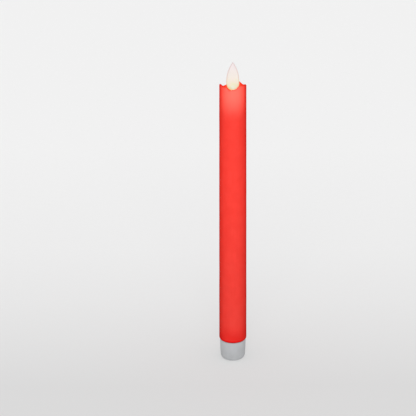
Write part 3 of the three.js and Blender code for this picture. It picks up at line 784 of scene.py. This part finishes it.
def smooth_shading():
    """A geometry-node group that welds a CAD mesh and shades it smooth, but for its sharp edges."""
    limit = math.radians(32)
    group = bpy.data.node_groups.new("smooth_shading", "GeometryNodeTree")
    for side in ("INPUT", "OUTPUT"):
        group.interface.new_socket("Geometry", in_out=side, socket_type="NodeSocketGeometry")
    new, link = group.nodes.new, group.links.new
    source, result = new("NodeGroupInput"), new("NodeGroupOutput")
    unset = new("GeometryNodeRemoveAttribute")
    unset.inputs["Name"].default_value = "custom_normal"
    weld = new("GeometryNodeMergeByDistance")
    weld.inputs["Distance"].default_value = 0.001 * MM
    faces, edges = new("GeometryNodeSetShadeSmooth"), new("GeometryNodeSetShadeSmooth")
    faces.domain, edges.domain = "FACE", "EDGE"
    edges.inputs["Shade Smooth"].default_value = False
    angle, sharp = new("GeometryNodeInputMeshEdgeAngle"), new("FunctionNodeCompare")
    sharp.operation = "GREATER_THAN"
    sharp.inputs["B"].default_value = limit
    link(source.outputs[0], unset.inputs["Geometry"])
    link(unset.outputs[0], weld.inputs["Geometry"])
    link(weld.outputs[0], faces.inputs["Geometry"])
    link(faces.outputs[0], edges.inputs["Geometry"])
    link(angle.outputs["Unsigned Angle"], sharp.inputs["A"])
    link(sharp.outputs[0], edges.inputs["Selection"])
    link(edges.outputs[0], result.inputs[0])
    return group


def dress(names, material, shading, edge=0.0):
    """Gives CAD nodes a finish and smooth shading, and rounds their edges by a small bevel."""
    for name in names:
        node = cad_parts[name]
        for slot in node.material_slots:
            slot.material = material
        node.modifiers.new("smooth_shading", "NODES").node_group = shading
        if edge:
            bevel = node.modifiers.new("edge", "BEVEL")
            bevel.width = edge
            bevel.segments = 2
            bevel.limit_method = "ANGLE"
            bevel.angle_limit = math.radians(35)
            bevel.harden_normals = True


def dress_cad_parts():
    shading = smooth_shading()
    dress(["tube_coupler", "head_shell_front", "head_shell_rear", "mechanism_frame"],
          tube_finish("casing_white"), shading, 0.06 * MM)
    collar = moulded("collar_red", rgb(0.62, 0.02, 0.012), rgb(0.74, 0.035, 0.02))
    dress(["wick_collar"], collar, shading, 0.12 * MM)
    zinc = metal("zinc", rgb(0.55, 0.55, 0.53), rgb(0.66, 0.67, 0.66))
    dress(["shell_screw_lower", "shell_screw_upper"], zinc, shading)
    nickel = metal("nickel", rgb(0.6, 0.58, 0.54), rgb(0.7, 0.68, 0.64), (0.16, 0.3))
    dress(["pivot_wire", "positive_contact", "contact_ring", "cap_spring", "flame_magnet",
           "timer_crystal"], nickel, shading)
    dress(["negative_strip"], metal("spring_strip", rgb(0.5, 0.5, 0.5), rgb(0.62, 0.62, 0.61),
                                    draw=(1, 1, 0.03)), shading, 0.05 * MM)
    dress(["switch_body"], metal("switch_can", rgb(0.5, 0.5, 0.48), rgb(0.6, 0.6, 0.58),
                                 (0.3, 0.45), (0.05, 1, 1)), shading, 0.1 * MM)
    black = moulded("black_plastic", rgb(0.012, 0.012, 0.013), rgb(0.022, 0.022, 0.024))
    dress(["coil_bobbin", "controller_chip", "coil_transistor", "ir_receiver", "switch_slider"],
          black, shading, 0.1 * MM)
    enamel = metal("copper_enamel", rgb(0.5, 0.17, 0.06), rgb(0.66, 0.25, 0.1), (0.2, 0.35),
                   (1, 1, 8), 0.5 * MM)
    dress(["coil_winding", "coil_wire_start", "coil_wire_end"], enamel, shading)
    dress(["control_board", "cap_board"], board_finish(), shading, 0.05 * MM)
    dress(["capacitor"], moulded("capacitor_sleeve", rgb(0.01, 0.014, 0.04),
                                 rgb(0.02, 0.026, 0.07), roughness=(0.2, 0.32)), shading,
          0.2 * MM)
    dress(["positive_wire", "led_wire_positive"],
          moulded("insulation_red", rgb(0.38, 0.012, 0.01), rgb(0.5, 0.02, 0.016)), shading)
    dress(["negative_wire", "led_wire_negative"],
          moulded("insulation_black", rgb(0.01, 0.01, 0.011), rgb(0.02, 0.02, 0.022)), shading)
    dress(["flame_led"], lens_finish(), shading)
    for name in ("battery_lower", "battery_upper"):
        low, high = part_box(name)
        dress([name], cell_finish(low.z, high.z), shading)


# ---- Studio ----------------------------------------------------------------------------------
def studio():
    """A wide pale floor, a pale grey room, soft light from the front and from above. The floor
    glows a little, as a lit sheet of paper does, and so takes almost no shadow."""
    world = bpy.data.worlds.new("studio")
    world.use_nodes = True
    background = world.node_tree.nodes["Background"]
    background.inputs["Color"].default_value = rgb(1.0, 1.0, 1.0)
    background.inputs["Strength"].default_value = 0.65
    bpy.context.scene.world = world
    bpy.context.scene.view_settings.view_transform = "Standard"

    half_width, gap = 60.0, 0.02 * MM
    floor_mesh = bmesh.new()
    bmesh.ops.create_grid(floor_mesh, x_segments=8, y_segments=8, size=half_width)
    floor = to_object("studio_floor", floor_mesh)
    floor.location.z = -gap
    finish = Finish("floor_paper", {"Specular IOR Level": 0.1, "Roughness": 0.8,
                                    "Emission Strength": 0.55})
    backwards = finish.range(finish.along("y"), -0.05, 0.45, 0, 1, False)
    tone = finish.ramp(backwards, [
        (0.0, rgb(0.7, 0.7, 0.7)), (0.17, rgb(0.76, 0.76, 0.76)), (0.3, rgb(0.8, 0.8, 0.8)),
        (0.5, rgb(0.84, 0.84, 0.84)), (1.0, rgb(0.88, 0.88, 0.88)),
    ])
    fibres = finish.range(finish.noise(0.004, 3), 0.3, 0.7, 0, 0.04)
    tone = finish.mix(fibres, tone, rgb(0.7, 0.7, 0.7))
    paper = finish.mix(1.0, tone, rgb(0.47, 0.47, 0.47), "MULTIPLY")
    floor.data.materials.append(finish.set(Base_Color=paper, Emission_Color=tone))

    def sun(name, elevation, azimuth, strength, softness):
        """A sun lamp; its two angles and its softness are in degrees."""
        light = bpy.data.lights.new(name, "SUN")
        light.energy = strength * math.pi
        light.angle = math.radians(softness)
        lamp = bpy.data.objects.new(name, light)
        lamp.rotation_euler = (math.radians(90 - elevation), 0, math.radians(azimuth))
        bpy.context.scene.collection.objects.link(lamp)

    sun("front_light", 14, -2, 0.46, 40)
    sun("top_light", 78, 0, 0.2, 70)


def camera():
    """A long lens, in front of the candle and well above it, looking down at the whole rod."""
    lens = bpy.data.cameras.new("camera")
    lens.sensor_width, lens.lens = 36, 156.4  # millimetres
    lens.clip_start, lens.clip_end = 0.01, 200
    obj = bpy.data.objects.new("camera", lens)
    obj.location = (-19.53 * MM, -1300 * MM, 707 * MM)
    pitch, roll = math.radians(23.861), math.radians(-0.348)
    tilt = Matrix.Rotation(math.pi / 2 - pitch, 3, "X")
    obj.rotation_euler = (tilt @ Matrix.Rotation(roll, 3, "Z")).to_euler()
    bpy.context.scene.collection.objects.link(obj)
    bpy.context.scene.camera = obj


camera()
studio()
wax_body()
flame_body()
cap_shell()
battery_tube()
dress_cad_parts()
